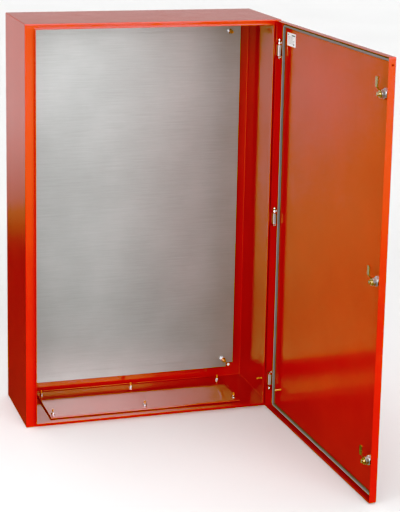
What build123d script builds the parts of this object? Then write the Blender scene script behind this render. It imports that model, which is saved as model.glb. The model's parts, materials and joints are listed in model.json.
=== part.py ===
from build123d import *
import math
import os

os.makedirs("parts", exist_ok=True)

# Wall-mounted sheet-steel enclosure for fire alarm control gear, in mm, with its door open.
# The origin is the centre of the four wall fixings, on the back face. +Z is up, and the
# front faces -Y. Plane.XZ looks along -Y, so its offsets and extrusions go to the front.

# ---- Driving dimensions ----
width = 800
height = 1250
depth = 300  # back face to rim face
sheet = 1.5
fold = 2.5  # outside radius of the body's folds

# Rim and the lip that is turned forward round the door opening
rim_side = 30  # body side to lip, left and right
rim_end = 15  # body top or bottom to lip
lip = 16.5

# Wall fixings in the rear panel
wall_pitch_x = 712
wall_pitch_z = 1170
wall_hole = 4.5

# Mounting plate on four M8 studs
plate_width = 730
plate_height = 1170
plate_sheet = 2
plate_standoff = 16.5  # rear panel to plate
plate_pitch_x = 654
plate_pitch_z = 1110
plate_notch_x = 24
plate_notch_z = 14
stud_m8 = 4
stud_m8_length = 50
spacer_radius = 8
clearance = 0.3  # round a stud, in spacers and washers

# Gland plate in the floor on six M6 studs
gland_y = -138.5  # centre of the plate, from the back face
gland_width = 626
gland_depth = 230
gland_fall = 5  # height of the turned-down edge
gland_pitch_x = 300
gland_pitch_y = 175
gland_gasket_thick = 5
floor_opening_x = 550
floor_opening_y = 140
gland_gasket_x = 584
gland_gasket_y = 162
gland_gasket_wide = 12
stud_m6 = 3
gland_stud_length = 23.5

# Earth studs, M6
earth_stud_y = -230
earth_stud_z = -558
earth_stud_length = 22
door_earth_x = 73.5  # from the hinge axis
door_earth_z = -543
door_earth_length = 19.5

# Door, a folded pan carried clear of the rim
door_margin = 2.5  # body side to door edge
door_fall = 22  # depth of the pan
door_fold = 3  # outside radius of its folds
door_open = 91.5  # degrees from shut
hinge_in = 10.5  # hinge axis from the body's side
hinge_out = 14  # hinge axis in front of the rim
skin_out = 12  # hinge axis to the door's outer face
drain_hole = 3
drain_z = 601
drain_in = -2  # from the hinge axis, along the door's normal

# Door gasket, on the line of the lip
gasket_wide = 11
gasket_thick = 7.5
gasket_corner = 14

# Label on the door's inner face, blank
label_x = 70.5
label_z = 573
label_width = 66
label_height = 40
label_thick = 0.3

# Hinges
hinge_levels = {"lower": -532, "middle": 0, "upper": 532}
block_height = 34
barrel = 5.5  # half the width of a block, and the radius of an ear
block_corner = 1.5
block_web = 7  # narrow enough for the door's edge to swing past
pin = 2.5
pin_play = 0.05
pin_head = 4.25
pin_head_length = 16
pin_tail = 6
ear = 2  # thickness of a bracket's ears
ear_play = 0.5  # block to ear
bracket_from = -4  # bracket's base, from the hinge axis
bracket_to = 12
hinge_notch = 25  # half the gap in the door's folded edge
hinge_notch_root = 2.5
hinge_screw = 2
hinge_screw_pitch = 18
hinge_screw_reach = 8

# Quarter-turn locks
lock_levels = {"lower": -517, "middle": 0, "upper": 517}
lock_x = 735.5  # from the hinge axis
lock_head = 14
lock_head_thick = 3.5
lock_seal = 1
lock_barrel = 11
lock_hole_play = 0.1
lock_barrel_end = 5  # past the hinge axis, along the door's normal
lock_nut_flats = 27
lock_nut_thick = 6
rotor = 8
rotor_play = 0.05
rotor_flange = 10
rotor_flange_thick = 1.8
rotor_sunk = 0.1
rotor_socket = 4.75
rotor_socket_deep = 9
rotor_drive = 7  # square that carries the cam
cam_gap = 0.4  # lock barrel to cam
cam_sheet = 3
cam_hub = 10
cam_neck = 9
cam_paddle = 13.5
cam_rise = 10.8
cam_step_from = 9
cam_step_to = 20
cam_reach = 48

# ---- Derived places ----
rim_y = -depth
top = height / 2
floor_top = sheet - top
opening_width = width - 2 * rim_side
opening_height = height - 2 * rim_end
plate_front = sheet + plate_standoff + plate_sheet  # distance in front of the back face
gland_top = floor_top + gland_gasket_thick + sheet
wall_fixings = GridLocations(wall_pitch_x, wall_pitch_z, 2, 2)
plate_fixings = GridLocations(plate_pitch_x, plate_pitch_z, 2, 2)
gland_fixings = GridLocations(gland_pitch_x, gland_pitch_y, 3, 2)

hinge_x = width / 2 - hinge_in
hinge_y = rim_y - hinge_out
door_width = width - 2 * door_margin
door_height = height - 2 * door_margin
door_mid = hinge_x  # hinge axis to the door's centre line
swing = math.radians(door_open)
along = (-math.cos(swing), -math.sin(swing), 0)  # hinge axis to free edge
inward = (-math.sin(swing), math.cos(swing), 0)
door_face = Plane(origin=(hinge_x, hinge_y, 0), x_dir=along, z_dir=inward)
inner_face = door_face.offset(sheet - skin_out)
hinge_edge = door_mid - door_width / 2
free_edge = door_mid + door_width / 2


# ---- Templates for fasteners that repeat ----
def make_hexagon(plane, flats, thick, bore=0):
    """A nut, or a bolt's head, with its corners turned off, standing on a plane."""
    corner = flats / 2 / math.cos(math.pi / 6)
    with BuildPart() as nut:
        with BuildSketch(plane):
            Circle(corner)
        extrude(amount=thick)
        chamfer(nut.edges().filter_by(GeomType.CIRCLE), length=0.12 * corner)
        with BuildSketch(plane):
            RegularPolygon(flats / 2, 6, major_radius=False)
        extrude(amount=thick, mode=Mode.INTERSECT)
        if bore:
            with BuildSketch(plane):
                Circle(bore)
            extrude(amount=thick, mode=Mode.SUBTRACT)
    return nut.part


def make_stud(plane, radius, length):
    """A weld stud with a chamfered tip, standing on a plane."""
    with BuildPart() as stud:
        with BuildSketch(plane):
            Circle(radius)
        extrude(amount=length)
        tip = stud.faces().filter_by(GeomType.PLANE).sort_by(SortBy.DISTANCE)[-1]
        if (tip.center() - plane.origin).length < length / 2:
            tip = stud.faces().filter_by(GeomType.PLANE).sort_by(SortBy.DISTANCE)[0]
        chamfer(tip.edges(), length=0.8)
    return stud.part


# ---- Body ----
with BuildPart() as body_shell:
    with BuildSketch(Plane.XZ):
        Rectangle(width, height)
    extrude(amount=depth)
    fillet(body_shell.edges().filter_by(Axis.Y), radius=fold)
    fillet(body_shell.faces().sort_by(Axis.Y)[0].edges(), radius=fold)
    with BuildSketch(Plane.XZ):
        Rectangle(width - 2 * sheet, height - 2 * sheet)
    extrude(amount=depth - sheet, mode=Mode.SUBTRACT)
    # Lip and opening
    with BuildSketch(Plane.XZ.offset(depth)):
        Rectangle(opening_width + 2 * sheet, opening_height + 2 * sheet)
    extrude(amount=lip)
    with BuildSketch(Plane.XZ.offset(depth - sheet)):
        Rectangle(opening_width, opening_height)
    extrude(amount=lip + sheet, mode=Mode.SUBTRACT)
    # Cable opening under the gland plate
    with BuildSketch(Plane.XY.offset(-top)):
        with Locations((0, gland_y)):
            Rectangle(floor_opening_x, floor_opening_y)
    extrude(amount=sheet, mode=Mode.SUBTRACT)
    # Screw holes behind the hinges
    with BuildSketch(Plane.XZ.offset(depth - sheet)):
        for level in hinge_levels.values():
            with Locations((hinge_x, level)):
                with GridLocations(0, hinge_screw_pitch, 1, 2):
                    Circle(hinge_screw + clearance)
    extrude(amount=sheet, mode=Mode.SUBTRACT)
body_shell.part.label = "body_shell"
export_step(body_shell.part, "parts/body_shell.step")

with BuildPart() as rear_panel:
    with BuildSketch(Plane.XZ):
        Rectangle(width - 2 * sheet, height - 2 * sheet)
        with wall_fixings:
            Circle(wall_hole, mode=Mode.SUBTRACT)
    extrude(amount=sheet)
rear_panel.part.label = "rear_panel"
export_step(rear_panel.part, "parts/rear_panel.step")

wall_x = width / 2 - sheet
with BuildPart() as body_earth_stud:
    stud_seat = Plane(origin=(wall_x, earth_stud_y, earth_stud_z), x_dir=(0, 1, 0), z_dir=(-1, 0, 0))
    add(make_stud(stud_seat, stud_m6, earth_stud_length))
body_earth_stud.part.label = "body_earth_stud"
export_step(body_earth_stud.part, "parts/body_earth_stud.step")

# ---- Mounting plate and its fixings ----
with BuildPart() as mounting_plate:
    with BuildSketch(Plane.XZ.offset(plate_front - plate_sheet)):
        Rectangle(plate_width, plate_height)
        with GridLocations(plate_width, plate_height, 2, 2):
            Rectangle(2 * plate_notch_x, 2 * plate_notch_z, mode=Mode.SUBTRACT)
        with plate_fixings:
            Circle(stud_m8 + clearance, mode=Mode.SUBTRACT)
    extrude(amount=plate_sheet)
mounting_plate.part.label = "mounting_plate"
export_step(mounting_plate.part, "parts/mounting_plate.step")

with BuildPart() as plate_spacers:
    with BuildSketch(Plane.XZ.offset(sheet)):
        with plate_fixings:
            Circle(spacer_radius)
            Circle(stud_m8 + clearance, mode=Mode.SUBTRACT)
    extrude(amount=plate_standoff)
plate_spacers.part.label = "plate_spacers"
export_step(plate_spacers.part, "parts/plate_spacers.step")

m8_washer = 1.6
m8_stud = make_stud(Plane.XZ, stud_m8, stud_m8_length)
m8_nut = make_hexagon(Plane.XZ, flats=13, thick=6.5, bore=stud_m8)
with BuildPart() as plate_studs:
    for place in plate_fixings:
        add(m8_stud.moved(Location((place.position.X, -sheet, place.position.Y))))
plate_studs.part.label = "plate_studs"
export_step(plate_studs.part, "parts/plate_studs.step")

with BuildPart() as plate_washers:
    with BuildSketch(Plane.XZ.offset(plate_front)):
        with plate_fixings:
            Circle(8)
            Circle(stud_m8 + clearance, mode=Mode.SUBTRACT)
    extrude(amount=m8_washer)
plate_washers.part.label = "plate_washers"
export_step(plate_washers.part, "parts/plate_washers.step")

with BuildPart() as plate_nuts:
    for place in plate_fixings:
        add(m8_nut.moved(Location((place.position.X, -plate_front - m8_washer, place.position.Y))))
plate_nuts.part.label = "plate_nuts"
export_step(plate_nuts.part, "parts/plate_nuts.step")

# ---- Gland plate and its fixings ----
gland_floor = Plane(origin=(0, gland_y, floor_top))
gland_face = Plane(origin=(0, gland_y, gland_top))
with BuildPart() as gland_plate:
    with BuildSketch(gland_face.offset(-gland_fall)):
        Rectangle(gland_width, gland_depth)
    extrude(amount=gland_fall)
    fillet(gland_plate.faces().sort_by(Axis.Z)[-1].edges(), radius=fold)
    with BuildSketch(gland_face.offset(-gland_fall)):
        Rectangle(gland_width - 2 * sheet, gland_depth - 2 * sheet)
    extrude(amount=gland_fall - sheet, mode=Mode.SUBTRACT)
    with BuildSketch(gland_face.offset(-sheet)):
        with gland_fixings:
            Circle(stud_m6 + clearance)
    extrude(amount=sheet, mode=Mode.SUBTRACT)
gland_plate.part.label = "gland_plate"
export_step(gland_plate.part, "parts/gland_plate.step")

with BuildPart() as gland_gasket:
    with BuildSketch(gland_floor):
        Rectangle(gland_gasket_x, gland_gasket_y)
        inner_x = gland_gasket_x - 2 * gland_gasket_wide
        inner_y = gland_gasket_y - 2 * gland_gasket_wide
        Rectangle(inner_x, inner_y, mode=Mode.SUBTRACT)
    extrude(amount=gland_gasket_thick)
gland_gasket.part.label = "gland_gasket"
export_step(gland_gasket.part, "parts/gland_gasket.step")

m6_washer = 1.6
m6_stud = make_stud(Plane.XY, stud_m6, gland_stud_length)
m6_nut = make_hexagon(Plane.XY, flats=10, thick=5, bore=stud_m6)
with BuildPart() as gland_studs:
    for place in gland_fixings:
        add(m6_stud.moved(gland_floor.location * place))
gland_studs.part.label = "gland_studs"
export_step(gland_studs.part, "parts/gland_studs.step")

with BuildPart() as gland_washers:
    with BuildSketch(gland_face):
        with gland_fixings:
            Circle(6.25)
            Circle(stud_m6 + clearance, mode=Mode.SUBTRACT)
    extrude(amount=m6_washer)
gland_washers.part.label = "gland_washers"
export_step(gland_washers.part, "parts/gland_washers.step")

with BuildPart() as gland_nuts:
    for place in gland_fixings:
        add(m6_nut.moved(gland_face.offset(m6_washer).location * place))
gland_nuts.part.label = "gland_nuts"
export_step(gland_nuts.part, "parts/gland_nuts.step")

# ---- Door ----
with BuildPart() as door_panel:
    with BuildSketch(door_face.offset(-skin_out)):
        with Locations((door_mid, 0)):
            Rectangle(door_width, door_height)
    extrude(amount=door_fall)
    normal = Axis((0, 0, 0), inward)
    fillet(door_panel.edges().filter_by(normal), radius=door_fold)
    fillet(door_panel.faces().sort_by(normal)[0].edges(), radius=door_fold)
    with BuildSketch(inner_face):
        with Locations((door_mid, 0)):
            Rectangle(door_width - 2 * sheet, door_height - 2 * sheet)
    extrude(amount=door_fall, mode=Mode.SUBTRACT)
    # The folded edge is cut away at each hinge
    with BuildSketch(door_face.offset(hinge_notch_root - skin_out)):
        for level in hinge_levels.values():
            with Locations((hinge_edge + sheet / 2, level)):
                Rectangle(sheet, 2 * hinge_notch)
    extrude(amount=door_fall, mode=Mode.SUBTRACT)
    # Lock holes
    with BuildSketch(door_face.offset(-skin_out)):
        for level in lock_levels.values():
            with Locations((lock_x, level)):
                Circle(lock_barrel + lock_hole_play)
    extrude(amount=sheet, mode=Mode.SUBTRACT)
    # Drain hole in the folded free edge
    drain_seat = door_face.from_local_coords((free_edge - sheet, drain_z, drain_in))
    with BuildSketch(Plane(origin=drain_seat, x_dir=(0, 0, 1), z_dir=along)):
        Circle(drain_hole)
    extrude(amount=sheet, mode=Mode.SUBTRACT)
door_panel.part.label = "door_panel"
export_step(door_panel.part, "parts/door_panel.step")

with BuildPart() as door_gasket:
    outer_x = opening_width + sheet + gasket_wide
    outer_z = opening_height + sheet + gasket_wide
    inner_x = outer_x - 2 * gasket_wide
    inner_z = outer_z - 2 * gasket_wide
    with BuildSketch(inner_face):
        with Locations((door_mid, 0)):
            RectangleRounded(outer_x, outer_z, gasket_corner)
            RectangleRounded(inner_x, inner_z, gasket_corner - gasket_wide, mode=Mode.SUBTRACT)
    extrude(amount=gasket_thick)
door_gasket.part.label = "door_gasket"
export_step(door_gasket.part, "parts/door_gasket.step")

with BuildPart() as rating_label:
    with BuildSketch(inner_face):
        with Locations((label_x, label_z)):
            RectangleRounded(label_width, label_height, 2)
    extrude(amount=label_thick)
rating_label.part.label = "rating_label"
export_step(rating_label.part, "parts/rating_label.step")

with BuildPart() as door_earth_stud:
    stud_root = inner_face.from_local_coords((door_earth_x, door_earth_z, 0))
    add(make_stud(Plane(origin=stud_root, x_dir=along, z_dir=inward), stud_m6, door_earth_length))
door_earth_stud.part.label = "door_earth_stud"
export_step(door_earth_stud.part, "parts/door_earth_stud.step")

# ---- Hinges: a block on the rim, a bracket on the door and a pin through both ----
ear_height = block_height + 2 * (ear_play + ear)
for name, level in hinge_levels.items():
    with BuildPart() as hinge_block:
        with BuildSketch(Plane.XY.offset(level - block_height / 2)):
            with Locations((hinge_x, hinge_y)):
                RectangleRounded(2 * barrel, 2 * barrel, block_corner)
            with Locations((hinge_x, (hinge_y + rim_y) / 2)):
                Rectangle(block_web, hinge_out)
            with Locations((hinge_x, hinge_y)):
                Circle(pin + pin_play, mode=Mode.SUBTRACT)
        extrude(amount=block_height)
        with BuildSketch(Plane.XZ.offset(depth)):
            with Locations((hinge_x, level)):
                with GridLocations(0, hinge_screw_pitch, 1, 2):
                    Circle(hinge_screw)
        extrude(amount=hinge_screw_reach, mode=Mode.SUBTRACT)
    hinge_block.part.label = f"hinge_block_{name}"
    export_step(hinge_block.part, f"parts/hinge_block_{name}.step")

    # On these planes +X runs to the door's free edge and +Y to its outer face
    hinge_plane = Plane(origin=(hinge_x, hinge_y, level), x_dir=along, z_dir=(0, 0, 1))
    with BuildPart() as hinge_bracket:
        base_y = skin_out - sheet
        with BuildSketch(hinge_plane.offset(-ear_height / 2)):
            Circle(barrel)
            outline = [(-barrel, 0), (bracket_from, base_y), (bracket_to, base_y)]
            outline += [(bracket_to, base_y - ear), (barrel, -1)]
            Polygon(*outline, align=None)
            Circle(pin, mode=Mode.SUBTRACT)
        extrude(amount=ear_height)
        with BuildSketch(hinge_plane.offset(-block_height / 2 - ear_play)):
            with Locations((bracket_to / 2, 0)):
                Rectangle(2 * bracket_to, 2 * (base_y - ear))
        extrude(amount=block_height + 2 * ear_play, mode=Mode.SUBTRACT)
    hinge_bracket.part.label = f"hinge_bracket_{name}"
    export_step(hinge_bracket.part, f"parts/hinge_bracket_{name}.step")

    # The pin's head is at the top, except on the lower hinge
    up = -1 if name == "lower" else 1
    pin_plane = Plane(origin=(hinge_x, hinge_y, level), x_dir=(1, 0, 0), z_dir=(0, 0, up))
    with BuildPart() as hinge_pin:
        with BuildSketch(pin_plane.offset(-ear_height / 2 - pin_tail)):
            Circle(pin)
        extrude(amount=ear_height + pin_tail)
        with BuildSketch(pin_plane.offset(ear_height / 2)):
            Circle(pin_head)
        extrude(amount=pin_head_length)
        fillet(hinge_pin.edges().filter_by(GeomType.CIRCLE).group_by(SortBy.RADIUS)[-1], radius=0.6)
    hinge_pin.part.label = f"hinge_pin_{name}"
    export_step(hinge_pin.part, f"parts/hinge_pin_{name}.step")

# Pan-head screws from inside the rim into the hinge blocks
screw_head = 3.6
screw_head_thick = 2.4
screw_socket_flats = 2.5
screw_socket_deep = 1.4
with BuildPart() as hinge_screws:
    with BuildSketch(Plane.XZ.offset(depth - sheet)):
        for level in hinge_levels.values():
            with Locations((hinge_x, level)):
                with GridLocations(0, hinge_screw_pitch, 1, 2):
                    Circle(hinge_screw)
    extrude(amount=sheet + hinge_screw_reach - 0.5)
    with BuildSketch(Plane.XZ.offset(depth - sheet)):
        for level in hinge_levels.values():
            with Locations((hinge_x, level)):
                with GridLocations(0, hinge_screw_pitch, 1, 2):
                    Circle(screw_head)
    extrude(amount=-screw_head_thick)
    with BuildSketch(Plane.XZ.offset(depth - sheet - screw_head_thick)):
        for level in hinge_levels.values():
            with Locations((hinge_x, level)):
                with GridLocations(0, hinge_screw_pitch, 1, 2):
                    RegularPolygon(screw_socket_flats / 2, 6, major_radius=False)
    extrude(amount=screw_socket_deep, mode=Mode.SUBTRACT)
hinge_screws.part.label = "hinge_screws"
export_step(hinge_screws.part, "parts/hinge_screws.step")

# ---- Locks: distances are from the hinge axis, inward along the door's normal ----
head_back = -skin_out - lock_seal
head_front = head_back - lock_head_thick
counterbore = rotor_flange_thick + 2 * rotor_sunk
rotor_front = head_front + rotor_sunk
cam_back = lock_barrel_end + cam_gap
washer_thick = 3.2  # plain and spring washer together
bolt_head_thick = 4
for name, level in lock_levels.items():
    lock_plane = Plane(origin=door_face.from_local_coords((lock_x, level, 0)), x_dir=along, z_dir=inward)

    with BuildPart() as lock_housing:
        with BuildSketch(lock_plane.offset(head_front)):
            Circle(lock_head)
        extrude(amount=lock_head_thick)
        chamfer(lock_housing.faces().sort_by(Axis((0, 0, 0), inward))[0].edges(), length=1)
        with BuildSketch(lock_plane.offset(head_back)):
            Circle(lock_barrel)
        extrude(amount=lock_barrel_end - head_back)
        with BuildSketch(lock_plane.offset(head_front)):
            Circle(rotor + rotor_play)
        extrude(amount=lock_barrel_end - head_front, mode=Mode.SUBTRACT)
        with BuildSketch(lock_plane.offset(head_front)):
            Circle(rotor_flange + rotor_play)
        extrude(amount=counterbore, mode=Mode.SUBTRACT)
    lock_housing.part.label = f"lock_housing_{name}"
    export_step(lock_housing.part, f"parts/lock_housing_{name}.step")

    with BuildPart() as lock_seal_ring:
        with BuildSketch(lock_plane.offset(head_back)):
            Circle(lock_head - 0.5)
            Circle(lock_barrel, mode=Mode.SUBTRACT)
        extrude(amount=lock_seal)
    lock_seal_ring.part.label = f"lock_seal_{name}"
    export_step(lock_seal_ring.part, f"parts/lock_seal_{name}.step")

    nut_plane = lock_plane.offset(sheet - skin_out)
    with BuildPart() as lock_nut:
        add(make_hexagon(nut_plane, lock_nut_flats, lock_nut_thick, lock_barrel))
    lock_nut.part.label = f"lock_nut_{name}"
    export_step(lock_nut.part, f"parts/lock_nut_{name}.step")

    with BuildPart() as lock_rotor:
        with BuildSketch(lock_plane.offset(rotor_front)):
            Circle(rotor_flange)
        extrude(amount=rotor_flange_thick)
        with BuildSketch(lock_plane.offset(rotor_front)):
            Circle(rotor)
        extrude(amount=cam_back - rotor_front)
        with BuildSketch(lock_plane.offset(cam_back)):
            Rectangle(rotor_drive, rotor_drive)
        extrude(amount=cam_sheet)
        # Socket for a double-bit key, round a centre pin
        with BuildSketch(lock_plane.offset(rotor_front)):
            Circle(rotor_socket)
            SlotOverall(13, 2.4)
            Circle(1.5, mode=Mode.SUBTRACT)
        extrude(amount=rotor_socket_deep, mode=Mode.SUBTRACT)
        # Threaded hole for the cam's bolt
        with BuildSketch(lock_plane.offset(cam_back + cam_sheet)):
            Circle(stud_m6)
        extrude(amount=-10, mode=Mode.SUBTRACT)
    lock_rotor.part.label = f"lock_rotor_{name}"
    export_step(lock_rotor.part, f"parts/lock_rotor_{name}.step")

    # The cam stands up at rest: its side view is cranked, and its front view is a paddle
    side_view = Plane(origin=lock_plane.origin, x_dir=(0, 0, 1), z_dir=along)
    with BuildPart() as lock_cam:
        with BuildSketch(side_view):
            with BuildLine():
                low = [(-cam_hub, cam_back), (cam_step_from, cam_back)]
                low += [(cam_step_to, cam_back + cam_rise), (cam_reach, cam_back + cam_rise)]
                high = [(x, y + cam_sheet) for x, y in reversed(low)]
                Polyline(*low, *high, close=True)
            make_face()
        extrude(amount=cam_hub, both=True)
        with BuildSketch(lock_plane.offset(cam_back)):
            Circle(cam_hub)
            with Locations((0, cam_step_to / 2)):
                Rectangle(cam_neck, cam_step_to)
            with Locations((0, (cam_step_to + cam_reach) / 2)):
                RectangleRounded(cam_paddle, cam_reach - cam_step_to, cam_neck / 2)
            Rectangle(rotor_drive, rotor_drive, mode=Mode.SUBTRACT)
        extrude(amount=cam_rise + cam_sheet, mode=Mode.INTERSECT)
    lock_cam.part.label = f"lock_cam_{name}"
    export_step(lock_cam.part, f"parts/lock_cam_{name}.step")

    # Washer and hexagon bolt that hold the cam on the rotor
    bolt_plane = lock_plane.offset(cam_back + cam_sheet)
    with BuildPart() as cam_bolt:
        with BuildSketch(bolt_plane):
            Circle(stud_m6)
        extrude(amount=-9)
        with BuildSketch(bolt_plane):
            Circle(6.25)
        extrude(amount=washer_thick)
        add(make_hexagon(bolt_plane.offset(washer_thick), 10, bolt_head_thick))
    cam_bolt.part.label = f"cam_bolt_{name}"
    export_step(cam_bolt.part, f"parts/cam_bolt_{name}.step")
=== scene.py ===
"""The looks of a wall-mounted fire alarm enclosure with its door open, on a pale studio floor."""
import json
import math
import random

import bmesh
import bpy
from mathutils import Matrix, Vector


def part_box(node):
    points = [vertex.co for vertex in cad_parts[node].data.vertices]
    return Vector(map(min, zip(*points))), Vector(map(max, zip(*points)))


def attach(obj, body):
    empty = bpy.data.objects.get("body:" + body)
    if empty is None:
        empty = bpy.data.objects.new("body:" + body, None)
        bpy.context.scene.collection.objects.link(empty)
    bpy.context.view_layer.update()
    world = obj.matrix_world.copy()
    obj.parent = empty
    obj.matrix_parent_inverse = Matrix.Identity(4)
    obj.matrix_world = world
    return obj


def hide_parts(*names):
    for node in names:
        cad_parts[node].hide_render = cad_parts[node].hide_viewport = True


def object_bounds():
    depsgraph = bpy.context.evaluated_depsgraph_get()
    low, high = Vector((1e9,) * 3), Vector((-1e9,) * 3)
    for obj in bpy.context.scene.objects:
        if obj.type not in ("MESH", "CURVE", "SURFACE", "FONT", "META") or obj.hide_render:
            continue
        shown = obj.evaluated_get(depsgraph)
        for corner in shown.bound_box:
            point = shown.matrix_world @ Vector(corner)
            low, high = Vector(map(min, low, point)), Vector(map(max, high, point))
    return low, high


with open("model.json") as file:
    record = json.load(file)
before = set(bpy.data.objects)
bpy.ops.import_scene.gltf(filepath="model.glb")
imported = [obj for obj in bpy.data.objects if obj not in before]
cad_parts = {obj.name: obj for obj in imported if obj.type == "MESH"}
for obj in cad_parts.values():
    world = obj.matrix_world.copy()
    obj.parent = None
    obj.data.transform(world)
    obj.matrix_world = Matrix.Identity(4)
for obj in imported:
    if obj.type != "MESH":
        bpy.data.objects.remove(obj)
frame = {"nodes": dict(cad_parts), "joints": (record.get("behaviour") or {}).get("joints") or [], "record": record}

MM = 0.001
cad_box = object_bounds()
nodes = frame["nodes"]
joints = {joint["name"]: joint for joint in frame["joints"]}
slot_of = {part["node"]: part["material_slot"] for part in frame["record"]["subparts"]}

# ---- Sizes that the frame doesn't give, in millimetres ----
sheet = 1.5  # body and door
rim_side = 30  # body side to lip, left and right
rim_end = 15  # body top or bottom to lip
lip = 16.5  # how far it stands before the rim
door_face = -10.5  # inner face of the door, from the hinge axis along the inward direction
cam_face = 8.4  # face of a cam under its bolt's washer, measured the same way
gland_pitch = (300, 175)  # between studs, across and front to back
plate_pitch = (654, 1110)  # between studs, across and up
body_earth = (-230, -558)  # y and z of the earth stud on the right wall
body_earth_length = 22
door_earth = (73.5, -543)  # along the door from the hinge axis, and up
door_earth_length = 19.5
label_place = (70.5, 573)  # the label's middle, measured the same way
label_half = (33, 20)
lock_nut = {"flats": 27, "thick": 6, "bore": 11.0}

# Metric threads, with the nut that fits each
m6 = {"radius": 3, "pitch": 1.0, "flats": 10, "thick": 5}
m8 = {"radius": 4, "pitch": 1.25, "flats": 13, "thick": 6.5}


# ---- Places taken from the frame ----
def corners(node):
    """Lowest and highest corners of a node at rest, in millimetres."""
    return [[round(value / MM, 3) for value in corner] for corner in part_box(node)]


def middle(node, axis):
    """Middle of a node along one axis, in millimetres."""
    low, high = corners(node)
    return (low[axis] + high[axis]) / 2


# The door's own axes: x from the hinge to the free edge, y up, z from its outer face inward.
# Rest is as far open as the joint's lower limit, where the door is shut, lies below zero.
hinge = Vector(joints["door_swing"]["pos_m"])
swing = math.radians(-joints["door_swing"]["range_deg"][0])
along = Vector((-math.cos(swing), -math.sin(swing), 0))
inward = Vector((-math.sin(swing), math.cos(swing), 0))
up = Vector((0, 0, 1))

rows = ("lower", "middle", "upper")
hinge_levels = {row: middle(f"hinge_block_{row}", 2) for row in rows}
lock_levels = {row: round(joints[f"lock_turn_{row}"]["pos_m"][2] / MM, 1) for row in rows}
lock_across = round((Vector(joints["lock_turn_middle"]["pos_m"]) - hinge).dot(along) / MM, 1)
door_middle = round(hinge.x / MM, 1)  # shut, the door is centred on the body

body_low, body_high = corners("body_shell")
wall_x, _, wall_z = corners("rear_panel")[1]  # inner faces of the side, top and bottom walls
back = corners("rear_panel")[0][1]  # front face of the rear panel
rim = body_low[1] + lip  # front face of the rim
gland_y = middle("gland_gasket", 1)
gland_spots = [(x * gland_pitch[0], gland_y + y * gland_pitch[1]) for x in (-1, 0, 1) for y in (-0.5, 0.5)]
plate_spots = [(x * plate_pitch[0], z * plate_pitch[1]) for x in (-0.5, 0.5) for z in (-0.5, 0.5)]


def axes(origin, x, y, z):
    """Matrix that puts a mesh made in metres on the given axes."""
    turn = Matrix((x, y, z)).transposed().to_4x4()
    return Matrix.Translation(origin) @ turn


def on_door(x, y, z):
    """Axes on the door, at a place given in millimetres from the hinge axis."""
    return axes(hinge + (along * x + up * y + inward * z) * MM, along, up, inward)


def in_body(x, y, z, normal):
    """Axes in the body whose z points up (+Z), out of the opening (-Y) or to the left (-X)."""
    turned = {
        "+Z": (Vector((1, 0, 0)), Vector((0, 1, 0)), Vector((0, 0, 1))),
        "-Y": (Vector((1, 0, 0)), Vector((0, 0, 1)), Vector((0, -1, 0))),
        "-X": (Vector((0, -1, 0)), Vector((0, 0, 1)), Vector((-1, 0, 0))),
    }[normal]
    return axes(Vector((x, y, z)) * MM, *turned)


def raised(place, height):
    """The same axes, moved along their z by millimetres."""
    return place @ Matrix.Translation((0, 0, height * MM))


def spun(place, turn):
    """The same axes, turned about their z by radians."""
    return place @ Matrix.Rotation(turn, 4, "Z")


# ---- Camera ----
def make_camera():
    """A long lens, from the left and above."""
    data = bpy.data.cameras.new("camera")
    data.lens = 111.7
    data.shift_y = -0.1654
    data.clip_end = 100
    camera = bpy.data.objects.new("camera", data)
    bpy.context.scene.collection.objects.link(camera)
    camera.location = (-1.3127, -4.8592, 1.2012)
    camera.rotation_euler = [math.radians(turn) for turn in (77.725, -1.105, -17.504)]
    bpy.context.scene.camera = camera


# ---- Material tools ----
def new_material(name):
    """A new material with its node tree and its shader."""
    material = bpy.data.materials.new(name)
    material.use_nodes = True
    return material, material.node_tree, material.node_tree.nodes["Principled BSDF"]


def noise(tree, scale, detail=2.0, rough=0.5, stretch=(1, 1, 1)):
    """Noise in the object's own metres. A larger stretch makes it finer along that axis."""
    place = tree.nodes.new("ShaderNodeTexCoord")
    mapping = tree.nodes.new("ShaderNodeMapping")
    mapping.inputs["Scale"].default_value = stretch
    texture = tree.nodes.new("ShaderNodeTexNoise")
    texture.inputs["Scale"].default_value = scale
    texture.inputs["Detail"].default_value = detail
    texture.inputs["Roughness"].default_value = rough
    tree.links.new(place.outputs["Object"], mapping.inputs["Vector"])
    tree.links.new(mapping.outputs["Vector"], texture.inputs["Vector"])
    return texture.outputs["Fac"]


def ramp(tree, value, stops):
    """Turns a value into a colour by (position, colour) stops."""
    node = tree.nodes.new("ShaderNodeValToRGB")
    elements = node.color_ramp.elements
    while len(elements) < len(stops):
        elements.new(0.5)
    for element, (position, colour) in zip(elements, stops):
        element.position = position
        element.color = (*colour, 1)
    tree.links.new(value, node.inputs["Fac"])
    return node.outputs["Color"]


def remap(tree, value, low, high, start=0.0, end=1.0):
    """Maps a value between start and end to one between low and high, and no further."""
    node = tree.nodes.new("ShaderNodeMapRange")
    node.inputs["From Min"].default_value = start
    node.inputs["From Max"].default_value = end
    node.inputs["To Min"].default_value = low
    node.inputs["To Max"].default_value = high
    tree.links.new(value, node.inputs["Value"])
    return node.outputs["Result"]


def blend(tree, share, first, second):
    """Mixes two colours by a share from 0 to 1. The second may be a plain colour."""
    node = tree.nodes.new("ShaderNodeMix")
    node.data_type = "RGBA"
    tree.links.new(share, node.inputs["Factor"])
    tree.links.new(first, node.inputs["A"])
    if isinstance(second, tuple):
        node.inputs["B"].default_value = (*second, 1)
    else:
        tree.links.new(second, node.inputs["B"])
    return node.outputs["Result"]


def average(tree, first, second, share):
    """Mixes two values, where share is the second one's part."""
    node = tree.nodes.new("ShaderNodeMix")
    node.data_type = "FLOAT"
    node.inputs["Factor"].default_value = share
    tree.links.new(first, node.inputs["A"])
    tree.links.new(second, node.inputs["B"])
    return node.outputs["Result"]


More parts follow.
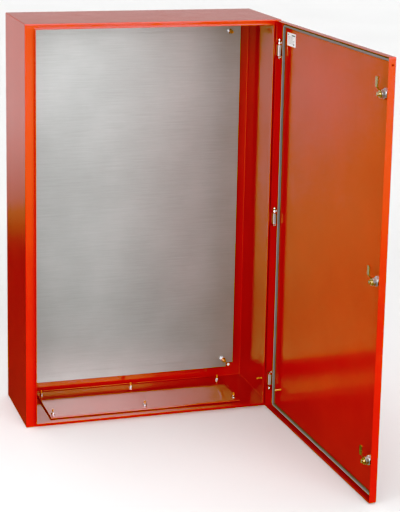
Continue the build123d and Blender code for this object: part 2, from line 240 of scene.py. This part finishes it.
def bump(tree, shader, heights):
    """Chains bump nodes, one for each (height, strength, distance in metres)."""
    normal = None
    for height, strength, distance in heights:
        node = tree.nodes.new("ShaderNodeBump")
        node.inputs["Strength"].default_value = strength
        node.inputs["Distance"].default_value = distance
        tree.links.new(height, node.inputs["Height"])
        if normal:
            tree.links.new(normal, node.inputs["Normal"])
        normal = node.outputs["Normal"]
    tree.links.new(normal, shader.inputs["Normal"])


def edge_wear_and_highlight(tree):
    """1 on sharp outer edges, 0 on flat faces: where the metals get lighter, part wear and part painted highlight.
    """
    flat, sharp = 0.52, 0.60
    geometry = tree.nodes.new("ShaderNodeNewGeometry")
    return remap(tree, geometry.outputs["Pointiness"], 0, 1, flat, sharp)


def mask(tree, name):
    """A value from 0 to 1 that the mesh carries."""
    attribute = tree.nodes.new("ShaderNodeAttribute")
    attribute.attribute_name = name
    return attribute.outputs["Fac"]


# ---- Materials: one for each of the record's slots, and a glossier paint for the gland plate ----
def red_paint(name, gloss, coarse):
    """Flame-red powder coat: slight clouding, faint handling marks and fine orange peel.

    Gloss is its index of refraction, and coarse multiplies the orange peel.
    """
    material, tree, shader = new_material(name)
    cloud = noise(tree, scale=5, detail=4, rough=0.6)
    colour = ramp(tree, cloud, [(0.3, (0.430, 0.014, 0.008)), (0.7, (0.480, 0.018, 0.010))])
    tree.links.new(colour, shader.inputs["Base Color"])
    marks = noise(tree, scale=18, detail=5, rough=0.65)
    tree.links.new(remap(tree, marks, 0.12, 0.20, 0.3, 0.75), shader.inputs["Roughness"])
    peel = noise(tree, scale=260, detail=2)
    grain = noise(tree, scale=1400, detail=1)
    bump(tree, shader, [(peel, 0.10 * coarse, 0.0004), (grain, 0.05 * coarse, 0.0001)])
    shader.inputs["IOR"].default_value = gloss
    return material


def galvanised():
    """Zinc-coated sheet: fine rolling lines across it, soft spangle and cloudy patches."""
    material, tree, shader = new_material("galvanised")
    lines = noise(tree, scale=9, detail=8, rough=0.7, stretch=(1, 1, 60))
    cloud = noise(tree, scale=3.5, detail=4, rough=0.55)
    spangle = noise(tree, scale=150, detail=3, rough=0.6)
    mixed = average(tree, lines, cloud, 0.55)
    tone = [(0.35, (0.335, 0.345, 0.345)), (0.5, (0.39, 0.405, 0.405)), (0.65, (0.455, 0.47, 0.47))]
    tree.links.new(ramp(tree, mixed, tone), shader.inputs["Base Color"])
    shader.inputs["Metallic"].default_value = 0.72
    tree.links.new(remap(tree, spangle, 0.30, 0.42, 0.3, 0.7), shader.inputs["Roughness"])
    bump(tree, shader, [(lines, 0.12, 0.0002), (spangle, 0.05, 0.0001)])
    return material


def metal(name, dark, light, rough):
    """A plated or cast metal: mottled colour, bright edges that are part wear and part painted highlight, smeared
    roughness and a fine bump.
    """
    scale = 220
    material, tree, shader = new_material(name)
    mottle = noise(tree, scale=scale, detail=4, rough=0.6)
    # Sharp edges take the light colour: part wear, part painted highlight.
    worn_and_highlit = blend(tree, edge_wear_and_highlight(tree), ramp(tree, mottle, [(0.35, dark), (0.65, light)]), light)
    tree.links.new(worn_and_highlit, shader.inputs["Base Color"])
    shader.inputs["Metallic"].default_value = 1.0
    smear = noise(tree, scale=scale * 0.4, detail=3)
    tree.links.new(remap(tree, smear, rough * 0.75, rough * 1.3, 0.3, 0.7), shader.inputs["Roughness"])
    fine = noise(tree, scale=scale * 6, detail=2)
    bump(tree, shader, [(fine, 0.15, 0.0001)])
    return material


def foam():
    """Closed-cell foam with pores, a little paler on its crown, which is a painted highlight along the bead's top.
    """
    material, tree, shader = new_material("foam")
    pores = noise(tree, scale=900, detail=3, rough=0.7)
    cloud = noise(tree, scale=12, detail=3)
    base = ramp(tree, cloud, [(0.3, (0.075, 0.062, 0.078)), (0.7, (0.105, 0.090, 0.108))])
    # The crown's paler colour is a painted highlight, not a rubbed mark.
    painted_crown_highlight = blend(tree, mask(tree, "crown"), base, (0.26, 0.24, 0.25))
    tree.links.new(painted_crown_highlight, shader.inputs["Base Color"])
    tree.links.new(remap(tree, pores, 0.6, 0.85), shader.inputs["Roughness"])
    bump(tree, shader, [(pores, 0.5, 0.0004)])
    return material


def seal_rubber():
    """Black moulded rubber with a slight grey bloom."""
    material, tree, shader = new_material("seal_rubber")
    bloom = noise(tree, scale=300, detail=3)
    colours = [(0.35, (0.02, 0.02, 0.02)), (0.7, (0.045, 0.045, 0.045))]
    tree.links.new(ramp(tree, bloom, colours), shader.inputs["Base Color"])
    tree.links.new(remap(tree, bloom, 0.6, 0.85), shader.inputs["Roughness"])
    bump(tree, shader, [(bloom, 0.2, 0.0002)])
    return material


def label_film():
    """White film. The mesh's ink marks its plain printed bars."""
    material, tree, shader = new_material("label_film")
    paper = noise(tree, scale=400, detail=3)
    colours = [(0.3, (0.94, 0.94, 0.94)), (0.7, (0.98, 0.98, 0.98))]
    printed = blend(tree, mask(tree, "ink"), ramp(tree, paper, colours), (0.03, 0.03, 0.035))
    tree.links.new(printed, shader.inputs["Base Color"])
    tree.links.new(remap(tree, paper, 0.3, 0.45), shader.inputs["Roughness"])
    bump(tree, shader, [(paper, 0.1, 0.0001)])
    return material


def make_materials():
    return {
        "red_paint": red_paint("red_paint", gloss=1.68, coarse=1.0),
        "gland_paint": red_paint("gland_paint", gloss=2.3, coarse=1.6),
        "galvanised": galvanised(),
        "zinc_plate": metal("zinc_plate", (0.60, 0.61, 0.64), (0.82, 0.82, 0.84), 0.24),
        "copper_stud": metal("copper_stud", (0.66, 0.27, 0.10), (0.90, 0.48, 0.24), 0.30),
        "die_cast": metal("die_cast", (0.70, 0.70, 0.71), (0.86, 0.86, 0.87), 0.42),
        "pin_steel": metal("pin_steel", (0.80, 0.80, 0.82), (0.93, 0.93, 0.94), 0.20),
        "yellow_zinc": metal("yellow_zinc", (0.66, 0.53, 0.27), (0.90, 0.80, 0.50), 0.26),
        "foam": foam(),
        "seal_rubber": seal_rubber(),
        "label_film": label_film(),
    }


# ---- Floor, surroundings and lights ----
def make_floor():
    """A wide pale floor just below the object. Reflections show the studio instead of it."""
    mesh = bpy.data.meshes.new("floor")
    reach = 60
    gap = 0.0005
    level = cad_box[0][2] - gap
    square = [(-reach, -reach), (reach, -reach), (reach, reach), (-reach, reach)]
    mesh.from_pydata([(x, y, level) for x, y in square], [], [(0, 1, 2, 3)])
    floor = bpy.data.objects.new("floor", mesh)
    bpy.context.scene.collection.objects.link(floor)
    material, tree, shader = new_material("floor_paint")
    blotch = noise(tree, scale=0.7, detail=3)
    shade = ramp(tree, blotch, [(0.3, (0.83, 0.83, 0.83)), (0.7, (0.87, 0.87, 0.87))])
    tree.links.new(shade, shader.inputs["Base Color"])
    shader.inputs["Roughness"].default_value = 0.9
    mesh.materials.append(material)
    floor.visible_glossy = False


def make_world():
    """A pale studio in bands by height. Its front half, which faces the opening, has a bright low band."""
    # Rows: height, the level behind the object and the level before it. Height runs from 0,
    # 30 degrees below the horizon and lower, to 1, 30 degrees above it and higher.
    bands = [
        (0.00, 0.32, 0.00),
        (0.15, 0.06, 0.00),
        (0.24, 0.02, 0.35),
        (0.32, 0.66, 1.40),
        (0.40, 0.62, 0.40),
        (0.48, 0.50, 0.55),
        (0.56, 0.74, 0.80),
        (0.66, 0.34, 0.40),
        (0.82, 0.32, 0.32),
        (1.00, 0.28, 0.28),
    ]
    brightest = 2.0
    world = bpy.data.worlds.new("studio")
    bpy.context.scene.world = world
    world.use_nodes = True
    tree = world.node_tree
    background = tree.nodes["Background"]
    direction = tree.nodes.new("ShaderNodeTexCoord")
    split = tree.nodes.new("ShaderNodeSeparateXYZ")
    tree.links.new(direction.outputs["Generated"], split.inputs[0])
    height = remap(tree, split.outputs["Z"], 0, 1, -0.5, 0.5)
    behind = ramp(tree, height, [(at, [level / brightest] * 3) for at, level, _ in bands])
    before = ramp(tree, height, [(at, [level / brightest] * 3) for at, _, level in bands])
    facing = remap(tree, split.outputs["Y"], 0, 1, -0.2, -0.6)
    tree.links.new(blend(tree, facing, behind, before), background.inputs["Color"])
    background.inputs["Strength"].default_value = brightest


def add_light(name, kind, toward, energy):
    """A light that shines back from the given direction."""
    data = bpy.data.lights.new(name, kind)
    data.energy = energy
    light = bpy.data.objects.new(name, data)
    bpy.context.scene.collection.objects.link(light)
    light.rotation_euler = Vector(toward).to_track_quat("Z", "Y").to_euler()
    return light


def make_lights():
    """Three wide suns, as soft as large panels, and a square panel to the left of the camera."""
    suns = {
        "front_right": ((0.32, -0.90, 0.26), 40, 1.75),
        "front_left": ((-0.30, -0.90, 0.30), 50, 1.90),
        "overhead": ((0.0, 0.20, 1.0), 60, 1.60),
    }
    for name, (toward, spread, energy) in suns.items():
        sun = add_light(name, "SUN", toward, energy)
        sun.data.angle = math.radians(spread)
    panel = add_light("left_panel", "AREA", (-3.0, -2.0, 1.3), 46)
    panel.location = (-3.0, -2.5, 1.3)
    panel.data.shape = "SQUARE"
    panel.data.size = 1.5


def set_response():
    """A camera's deep shadows: faint green and blue under a strong red are lost, so reds stay clean."""
    green, blue = 1, 2
    toes = {
        green: [(0.022, 0.002), (0.045, 0.018), (0.08, 0.078), (0.12, 0.125)],
        blue: [(0.06, 0.004), (0.085, 0.014), (0.108, 0.075), (0.14, 0.12), (0.25, 0.24)],
    }
    view = bpy.context.scene.view_settings
    view.view_transform = "Standard"
    view.use_curve_mapping = True
    mapping = view.curve_mapping
    for channel, points in toes.items():
        curve = mapping.curves[channel]
        for spot in points:
            curve.points.new(*spot)
        for point in curve.points:
            point.handle_type = "VECTOR"
    mapping.update()


# ---- Mesh tools ----
def finish_piece(name, mesh, body, slot, replaced=(), smooth_below=40):
    """Makes a piece of a mesh in world metres, with its slot's material, shading and body."""
    mesh.normal_update()
    made = bpy.data.meshes.new(name)
    mesh.to_mesh(made)
    mesh.free()
    made.materials.append(materials[slot])
    made.shade_smooth()
    made.set_sharp_from_angle(angle=math.radians(smooth_below))
    piece = bpy.data.objects.new(name, made)
    bpy.context.scene.collection.objects.link(piece)
    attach(piece, body)
    if replaced:
        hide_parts(*replaced)


def skin(mesh, rings, closed_along=False, caps=False):
    """Quads between rings of the same number of vertices, each ring closed on itself."""
    count = len(rings)
    for i in range(count if closed_along else count - 1):
        low, high = rings[i], rings[(i + 1) % count]
        for j in range(len(low)):
            k = (j + 1) % len(low)
            mesh.faces.new((low[j], low[k], high[k], high[j]))
    if caps:
        mesh.faces.new(list(reversed(rings[0])))
        mesh.faces.new(rings[-1])


def add_circle(mesh, place, height, radii):
    """A ring of vertices round z, one for each radius, in millimetres."""
    ring = []
    for k, radius in enumerate(radii):
        turn = 2 * math.pi * k / len(radii)
        spot = Vector((radius * math.cos(turn), radius * math.sin(turn), height)) * MM
        ring.append(mesh.verts.new(place @ spot))
    return ring


def add_lathe(mesh, place, profile, sides=32):
    """Turns (radius, height) pairs in millimetres round z. A radius of 0 closes an end."""
    rings = []
    for radius, height in profile:
        if radius == 0:
            rings.append([mesh.verts.new(place @ (Vector((0, 0, height)) * MM))])
        else:
            rings.append(add_circle(mesh, place, height, [radius] * sides))
    for low, high in zip(rings, rings[1:]):
        for k in range(sides):
            n = (k + 1) % sides
            if len(low) == 1:
                mesh.faces.new((low[0], high[n], high[k]))
            elif len(high) == 1:
                mesh.faces.new((low[k], low[n], high[0]))
            else:
                mesh.faces.new((low[k], low[n], high[n], high[k]))


def add_section(mesh, place, turn, loop):
    """One radial section of a turned piece: (radius, height) pairs at an angle round z."""
    spots = [Vector((r * math.cos(turn), r * math.sin(turn), h)) * MM for r, h in loop]
    return [mesh.verts.new(place @ spot) for spot in spots]


def add_ring(mesh, place, loop):
    """Turns a closed loop of (radius, height) pairs round z, for a washer or a seal."""
    sides = 48
    sections = [add_section(mesh, place, 2 * math.pi * k / sides, loop) for k in range(sides)]
    skin(mesh, sections, closed_along=True)


def add_thread(mesh, place, thread, length):
    """A stud with a real helical thread, chamfered at its free end, rising along z."""
    sides = 20
    radius, pitch = thread["radius"], thread["pitch"]
    depth = 0.54 * pitch
    rings_per_turn = 6
    count = int(length / pitch * rings_per_turn)
    chamfer_start = length - 0.8 * pitch
    rings = []
    for i in range(count + 1):
        height = length * i / count
        most = radius - max(0.0, height - chamfer_start) * 0.9
        phases = [(height / pitch - k / sides) % 1.0 for k in range(sides)]
        radii = [min(radius - depth * (1 - abs(2 * phase - 1)), most) for phase in phases]
        rings.append(add_circle(mesh, place, height, radii))
    skin(mesh, rings, caps=True)


def add_hexagon(mesh, place, flats, thick, bore=0.0, both_ends=False):
    """A hexagon with the rounded chamfer that turning leaves on its corners, and a bore if asked."""
    sides = 72
    half_flats = flats / 2
    chamfer_radius = half_flats * 0.96
    slope = math.tan(math.radians(30))
    rise = (half_flats / math.cos(math.radians(30)) - chamfer_radius) * slope
    steps = (0, 0.35, 0.7, 1)
    heights = [rise * step for step in steps] + [thick - rise * step for step in reversed(steps)]
    rings = []
    for height in heights:
        radii = []
        for k in range(sides):
            off_flat = (2 * math.pi * k / sides + math.pi / 6) % (math.pi / 3) - math.pi / 6
            radius = min(half_flats / math.cos(off_flat), chamfer_radius + (thick - height) / slope)
            if both_ends:
                radius = min(radius, chamfer_radius + height / slope)
            radii.append(radius)
        rings.append(add_circle(mesh, place, height, radii))
    skin(mesh, rings, caps=not bore)
    if not bore:
        return
    low, high = [add_circle(mesh, place, height, [bore] * sides) for height in (0, thick)]
    for k in range(sides):
        n = (k + 1) % sides
        mesh.faces.new((rings[-1][k], rings[-1][n], high[n], high[k]))
        mesh.faces.new((rings[0][n], rings[0][k], low[k], low[n]))
        mesh.faces.new((low[n], low[k], high[k], high[n]))


def add_nut(mesh, place, thread):
    """The nut that fits a thread, chamfered at both ends."""
    add_hexagon(mesh, place, thread["flats"], thread["thick"], bore=thread["radius"], both_ends=True)


def rounded_path(half_x, half_y, corner, along_step, corner_steps):
    """Points and outward directions round a rectangle with rounded corners, in millimetres."""
    path = []
    for quarter, (sx, sy) in enumerate(((1, 1), (-1, 1), (-1, -1), (1, -1))):
        centre = Vector((sx * (half_x - corner), sy * (half_y - corner)))
        for i in range(corner_steps + 1):
            turn = math.pi / 2 * (quarter + i / corner_steps)
            out = Vector((math.cos(turn), math.sin(turn)))
            path.append((centre + out * corner, out))
        length = 2 * ((half_x if quarter % 2 == 0 else half_y) - corner)
        count = int(length / along_step)
        start, out = path[-1]
        run = Vector((-out.y, out.x))
        for i in range(1, count):
            path.append((start + run * length * i / count, out))
    return path


def both_sides(half):
    """A whole section from its left half of (offset, height, crown) points."""
    return half + [(-x, y, crown) for x, y, crown in reversed(half) if x]


def add_bead(mesh, place, path, profile, sway=0.0):
    """Sweeps (offset, height, crown) points round a closed path. Sway ripples its height."""
    chance = random.Random(1)
    waves = [(chance.uniform(0.01, 0.05), chance.uniform(0, 6.3)) for _ in range(4)]
    # crown: each vertex's share of the foam's painted highlight
    crown_highlight_layer = mesh.verts.layers.float.new("crown")
    rings = []
    run = 0.0
    last = path[0][0]
    for spot, out in path:
        run += (spot - last).length
        last = spot
        ripple = 1 + sway * sum(math.sin(run * rate + start) for rate, start in waves) / 4
        ring = []
        for offset, height, crown in profile:
            flat = spot + out * offset
            vert = mesh.verts.new(place @ (Vector((flat.x, flat.y, height * ripple)) * MM))
            vert[crown_highlight_layer] = crown
            ring.append(vert)
        rings.append(ring)
    skin(mesh, rings, closed_along=True)
    bmesh.ops.recalc_face_normals(mesh, faces=mesh.faces)


# ---- Seals ----
def make_door_gasket():
    """Foam poured in one bead that meets the lip: a flat foot, rounded shoulders and a raised crown."""
    mesh = bmesh.new()
    lip_x = body_high[0] - rim_side + sheet / 2
    lip_z = body_high[2] - rim_end + sheet / 2
    path = rounded_path(lip_x, lip_z, corner=8.5, along_step=8, corner_steps=8)
    # The third value in each point is its share of the crown's painted highlight.
    foot = [(-5.4, 0, 0), (-5.45, 1.6, 0), (-5.1, 3.4, 0)]
    crown = [(-4.1, 5.0, 0), (-2.9, 6.2, 0.3), (-1.5, 7.1, 1), (0, 7.4, 1)]
    add_bead(mesh, on_door(door_middle, 0, door_face), path, both_sides(foot + crown), sway=0.03)
    finish_piece("door_gasket_bead", mesh, "door", "foam", ["door_gasket"], smooth_below=60)


def make_gland_gasket():
    """Strip of foam under the gland plate, bulging a little where the plate squeezes it."""
    mesh = bmesh.new()
    low, high = corners("gland_gasket")
    half_strip = 6
    half_x, half_y = high[0] - half_strip, (high[1] - low[1]) / 2 - half_strip
    path = rounded_path(half_x, half_y, corner=0.5, along_step=8, corner_steps=2)
    bulge = [(-5.6, 0, 0), (-5.95, 1.2, 0), (-6.0, 2.5, 0), (-5.95, 3.8, 0), (-5.6, 5.0, 0)]
    add_bead(mesh, in_body(0, gland_y, low[2], "+Z"), path, both_sides(bulge))
    finish_piece("gland_gasket_strip", mesh, "enclosure", "foam", ["gland_gasket"], smooth_below=60)


def make_lock_seals():
    """Flat rubber rings with rounded edges, under the lock heads on the door's outer face."""
    inner = [(11.4, 0), (11.05, 0.1), (11.05, 0.9), (11.4, 1.0)]
    outer = [(13.2, 1.0), (13.5, 0.75), (13.5, 0.25), (13.2, 0)]
    thick = 1
    for row, level in lock_levels.items():
        mesh = bmesh.new()
        place = on_door(lock_across, level, door_face - sheet - thick)
        add_ring(mesh, place, inner + outer)
        bmesh.ops.recalc_face_normals(mesh, faces=mesh.faces)
        finish_piece(f"lock_seal_ring_{row}", mesh, "door", "seal_rubber", [f"lock_seal_{row}"])


# ---- Studs, nuts and washers ----
def make_studs():
    """Threaded studs for the gland plate, the mounting plate and the two earth wires."""
    mesh = bmesh.new()
    low, high = corners("gland_studs")
    for x, y in gland_spots:
        add_thread(mesh, in_body(x, y, low[2], "+Z"), m6, high[2] - low[2])
    finish_piece("gland_stud_threads", mesh, "enclosure", "copper_stud", ["gland_studs"])
    mesh = bmesh.new()
    low, high = corners("plate_studs")
    for x, z in plate_spots:
        add_thread(mesh, in_body(x, high[1], z, "-Y"), m8, high[1] - low[1])
    finish_piece("plate_stud_threads", mesh, "enclosure", "copper_stud", ["plate_studs"])
    mesh = bmesh.new()
    add_thread(mesh, in_body(wall_x, *body_earth, "-X"), m6, body_earth_length)
    finish_piece("body_earth_thread", mesh, "enclosure", "copper_stud", ["body_earth_stud"])
    mesh = bmesh.new()
    add_thread(mesh, on_door(*door_earth, door_face), m6, door_earth_length)
    finish_piece("door_earth_thread", mesh, "door", "copper_stud", ["door_earth_stud"])


def make_nuts():
    """Hexagon nuts, each left at its own angle, and the large nuts of the locks."""
    mesh = bmesh.new()
    level = corners("gland_nuts")[0][2]
    for x, y in gland_spots:
        add_nut(mesh, spun(in_body(x, y, level, "+Z"), x * 0.7 + y), m6)
    finish_piece("gland_nut_set", mesh, "enclosure", "zinc_plate", ["gland_nuts"])
    mesh = bmesh.new()
    level = corners("plate_nuts")[1][1]
    for x, z in plate_spots:
        add_nut(mesh, spun(in_body(x, level, z, "-Y"), x * 0.3 + z), m8)
    finish_piece("plate_nut_set", mesh, "enclosure", "zinc_plate", ["plate_nuts"])
    for row, level in lock_levels.items():
        mesh = bmesh.new()
        add_hexagon(mesh, on_door(lock_across, level, door_face), **lock_nut)
        finish_piece(f"lock_nut_ring_{row}", mesh, "door", "zinc_plate", [f"lock_nut_{row}"])


def add_split_washer(mesh, place):
    """A spring washer cut through at one place, its ends a little apart in height."""
    section = [(3.2, 1.7), (5.4, 1.7), (5.5, 1.8), (5.5, 2.95), (5.4, 3.05), (3.2, 3.05)]
    steps = 44
    spring = 0.25
    gap = 8  # degrees from the cut's middle to either end
    sections = []
    for k in range(steps + 1):
        turn = math.radians(gap + (360 - 2 * gap) * k / steps)
        lift = spring * (k / steps - 0.5)
        sections.append(add_section(mesh, place, turn, [(r, h + lift) for r, h in section]))
    skin(mesh, sections, caps=True)


def make_cam_bolts():
    """Plain washer, split spring washer, hexagon head and shank that hold each cam."""
    washer = [(3.1, 0.05), (3.1, 1.55), (6.15, 1.55), (6.25, 1.4), (6.25, 0.1), (6.15, 0.0)]
    shank = [(0, 0), (2.6, 0), (3.0, 0.6), (3.0, 12.2), (0, 12.2)]
    shank_end, head_level, head_turn, head_thick = -8.9, 3.2, 0.2, 4
    for row, level in lock_levels.items():
        mesh = bmesh.new()
        place = on_door(lock_across, level, cam_face)
        add_ring(mesh, place, washer)
        add_split_washer(mesh, place)
        bmesh.ops.recalc_face_normals(mesh, faces=mesh.faces)
        add_hexagon(mesh, spun(raised(place, head_level), head_turn), m6["flats"], head_thick)
        add_lathe(mesh, raised(place, shank_end), shank, sides=24)
        finish_piece(f"cam_bolt_head_{row}", mesh, f"lock_{row}", "yellow_zinc", [f"cam_bolt_{row}"])


# ---- Hinge pins ----
def make_pins():
    """Turned pins, chamfered, with a fine groove round the head. The lower pin's head is at the bottom."""
    shaft = [(0, -25.5), (1.9, -25.5), (2.5, -24.8), (2.5, 19.5)]
    collar = [(3.9, 19.5), (4.2, 19.8), (4.2, 25.6), (3.9, 26.0), (3.7, 26.2)]
    head = [(3.7, 26.8), (3.9, 27.0), (4.2, 27.4), (4.2, 34.6), (3.8, 35.3), (0, 35.5)]
    for row, level in hinge_levels.items():
        mesh = bmesh.new()
        place = in_body(door_middle, hinge.y / MM, level, "+Z")
        if row == "lower":
            place = place @ Matrix.Rotation(math.pi, 4, "X")
        add_lathe(mesh, place, shaft + collar + head)
        finish_piece(f"hinge_pin_turned_{row}", mesh, "door", "pin_steel", [f"hinge_pin_{row}"])


# ---- Label ----
def make_label():
    """A rounded film label with plain bars in place of its printing."""
    mesh = bmesh.new()
    ink = mesh.faces.layers.float.new("ink")
    place = on_door(*label_place, door_face)
    film = 0.3
    path = rounded_path(*label_half, corner=2, along_step=60, corner_steps=5)
    rings = [[mesh.verts.new(place @ (Vector((*spot, h)) * MM)) for spot, _ in path] for h in (0, film)]
    skin(mesh, rings, caps=True)

    def bar(left, low, right, high, tone):
        rectangle = [(left, low), (right, low), (right, high), (left, high)]
        levels = (film - 0.02, film + 0.03)
        rings = [[mesh.verts.new(place @ (Vector((*spot, h)) * MM)) for spot in rectangle] for h in levels]
        before = set(mesh.faces)
        skin(mesh, rings, caps=True)
        for face in set(mesh.faces) - before:
            face[ink] = tone

    bar(-28, 12.5, -21, 16, 1.0)
    bar(2, 11.5, 28, 15.5, 1.0)
    chance = random.Random(4)
    thick, pitch = 1.1, 3.4
    level = 7.5
    while level > -16:
        right = chance.uniform(8, 27)
        split = chance.uniform(-14, -4)
        bar(-27, level, split, level + thick, 0.75)
        bar(split + 2, level, right, level + thick, 0.65)
        level -= pitch
    bar(14, -16, 24, -10.5, 0.8)
    finish_piece("rating_label_film", mesh, "door", "label_film", ["rating_label"])


# ---- Paint-filled seams at the body's inner corners ----
def add_fillet_run(mesh, start, end, first, second):
    """A concave strip along an inner corner, let a little into both walls, which first and second leave."""
    size, unevenness, sunk = 3, 0.12, 0.3
    steps = 5
    start, end, first, second = (Vector(point) for point in (start, end, first, second))
    length = (end - start).length
    count = max(2, int(length / 20))
    chance = random.Random(int(length) + 3)
    rings = []
    for i in range(count + 1):
        corner = start.lerp(end, i / count)
        reach = size * (1 + chance.uniform(-unevenness, unevenness))
        spots = [corner - first * sunk - second * sunk, corner + first * reach - second * sunk]
        for j in range(steps + 1):
            turn = math.pi / 2 * j / steps
            from_first = first * reach * (1 - math.sin(turn))
            from_second = second * reach * (1 - math.cos(turn))
            spots.append(corner + from_first + from_second)
        spots.append(corner + second * reach - first * sunk)
        rings.append([mesh.verts.new(spot * MM) for spot in spots])
    before = set(mesh.faces)
    skin(mesh, rings, caps=True)
    bmesh.ops.recalc_face_normals(mesh, faces=list(set(mesh.faces) - before))


def make_seams():
    """Seams round the rear panel and along the four long folds, each pointing into the body."""
    mesh = bmesh.new()
    front = rim + sheet
    out = (0, -1, 0)
    for side in (1, -1):
        x = side * wall_x
        add_fillet_run(mesh, (x, back, -wall_z), (x, back, wall_z), (-side, 0, 0), out)
    for end in (-1, 1):
        z = end * wall_z
        add_fillet_run(mesh, (-wall_x, back, z), (wall_x, back, z), (0, 0, -end), out)
    for end in (-1, 1):
        for side in (1, -1):
            x, z = side * wall_x, end * wall_z
            add_fillet_run(mesh, (x, back, z), (x, front, z), (-side, 0, 0), (0, 0, -end))
    finish_piece("body_seams", mesh, "enclosure", "red_paint", smooth_below=50)


# ---- CAD nodes that stay: material, softened edges and smooth shading ----
def dress_node(name, edge):
    node = nodes[name]
    node.data.materials.clear()
    node.data.materials.append(materials[finish_of[name]])
    node.data.shade_smooth()
    node.data.set_sharp_from_angle(angle=math.radians(35))
    weld = node.modifiers.new("weld", "WELD")
    weld.merge_threshold = 1e-6
    bevel = node.modifiers.new("edges", "BEVEL")
    bevel.width = edge
    bevel.segments = 2
    bevel.limit_method = "ANGLE"
    bevel.angle_limit = math.radians(40)
    level = node.modifiers.new("normals", "WEIGHTED_NORMAL")
    level.keep_sharp = True


finish_of = {**slot_of, "gland_plate": "gland_paint"}
edge_of = {"die_cast": 0.5, "yellow_zinc": 0.35, "galvanised": 0.25}  # softened edges, in mm
usual_edge = 0.3

make_camera()
materials = make_materials()
for name in nodes:
    dress_node(name, edge_of.get(slot_of[name], usual_edge) * MM)
make_door_gasket()
make_gland_gasket()
make_lock_seals()
make_studs()
make_nuts()
make_cam_bolts()
make_pins()
make_label()
make_seams()
make_floor()
make_world()
make_lights()

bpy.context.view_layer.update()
set_response()
